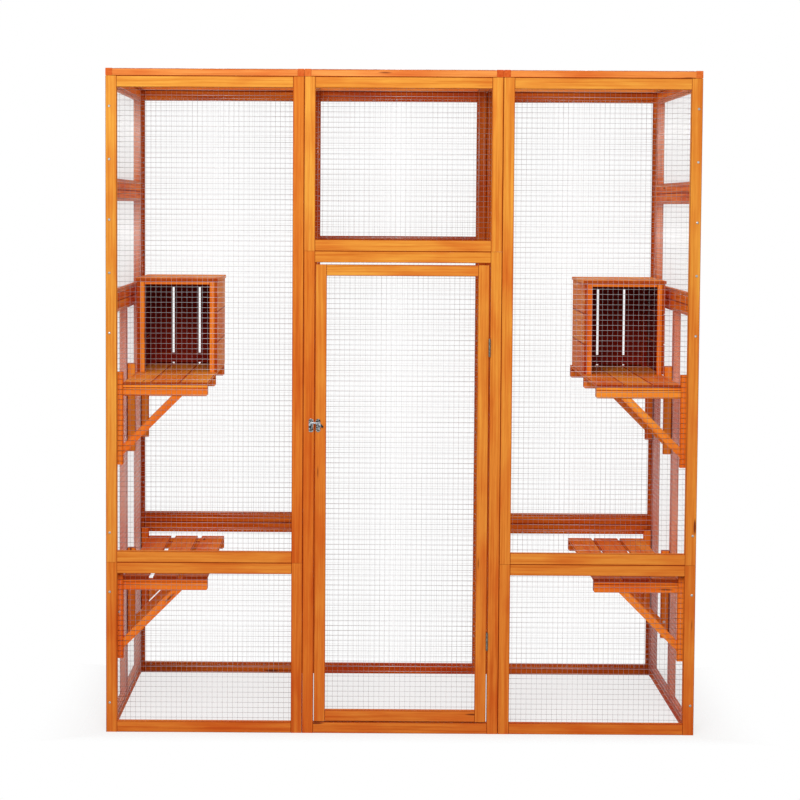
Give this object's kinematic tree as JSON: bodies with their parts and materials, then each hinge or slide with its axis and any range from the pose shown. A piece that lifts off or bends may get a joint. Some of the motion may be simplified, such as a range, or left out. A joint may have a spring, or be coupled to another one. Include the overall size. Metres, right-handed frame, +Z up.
{
  "type": "walk-in cat cage",
  "caption": "Walk-in wooden cat cage with wire mesh walls and roof, a hinged front door with a hook latch, slatted wall shelves and open-fronted resting boxes.",
  "frame": {"origin": "centre of the bounding box's base, on the floor that the cage stands on", "axes": "+Z up; +Y from the door side to the back wall; +X to the right as seen from the door side"},
  "size_m": [1.6, 0.7882, 1.8021],
  "materials": {
    "frame_wood": "orange-brown stain, satin",
    "shelf_wood": "orange-brown stain, satin",
    "box_wood": "orange-brown stain, satin",
    "wire_mesh": "galvanised",
    "screw_zinc": "zinc plated",
    "hinge_zinc": "zinc plated",
    "latch_chrome": "polished"
  },
  "bodies": {
    "cage": {"front_left_upper_frame": "frame_wood", "front_left_lower_frame": "frame_wood", "front_centre_upper_frame": "frame_wood", "door_surround_frame": "frame_wood", "front_right_upper_frame": "frame_wood", "front_right_lower_frame": "frame_wood", "back_left_upper_frame": "frame_wood", "back_left_lower_frame": "frame_wood", "back_centre_upper_frame": "frame_wood", "back_centre_lower_frame": "frame_wood", "back_right_upper_frame": "frame_wood", "back_right_lower_frame": "frame_wood", "left_side_bottom_frame": "frame_wood", "left_side_middle_frame": "frame_wood", "left_side_top_frame": "frame_wood", "right_side_bottom_frame": "frame_wood", "right_side_middle_frame": "frame_wood", "right_side_top_frame": "frame_wood", "roof_left_frame": "frame_wood", "roof_centre_frame": "frame_wood", "roof_right_frame": "frame_wood", "front_left_mesh": "wire_mesh", "front_centre_mesh": "wire_mesh", "front_right_mesh": "wire_mesh", "back_left_mesh": "wire_mesh", "back_centre_mesh": "wire_mesh", "back_right_mesh": "wire_mesh", "left_side_mesh": "wire_mesh", "right_side_mesh": "wire_mesh", "roof_mesh": "wire_mesh", "upper_left_slats": "shelf_wood", "upper_left_battens": "shelf_wood", "upper_left_brackets": "shelf_wood", "upper_right_slats": "shelf_wood", "upper_right_battens": "shelf_wood", "upper_right_brackets": "shelf_wood", "lower_left_slats": "shelf_wood", "lower_left_battens": "shelf_wood", "lower_left_brackets": "shelf_wood", "lower_right_slats": "shelf_wood", "lower_right_battens": "shelf_wood", "lower_right_brackets": "shelf_wood", "left_box_frame": "box_wood", "left_box_boards": "box_wood", "left_box_roof": "box_wood", "right_box_frame": "box_wood", "right_box_boards": "box_wood", "right_box_roof": "box_wood", "wall_screws": "screw_zinc", "fixed_hardware_screws": "screw_zinc", "hinge_fixed_leaves": "hinge_zinc", "hinge_pins": "hinge_zinc", "latch_keeper": "latch_chrome"},
    "door": {"door_frame": "frame_wood", "door_mesh": "wire_mesh", "hinge_door_leaves": "hinge_zinc", "latch_plate": "latch_chrome", "door_hardware_screws": "screw_zinc"},
    "latch_lever": {"latch_lever": "latch_chrome"}
  },
  "joints": [
    {"name": "door_hinge", "type": "hinge", "parent": "cage", "child": "door", "pos_m": [0.23497, -0.39108, 0.6549], "axis": [0, 0, 1], "range_deg": [0, 175]},
    {"name": "latch_pivot", "type": "hinge", "parent": "door", "child": "latch_lever", "pos_m": [-0.22622, -0.39028, 0.847], "axis": [0, 1, 0], "range_deg": [0, 95]}
  ]
}
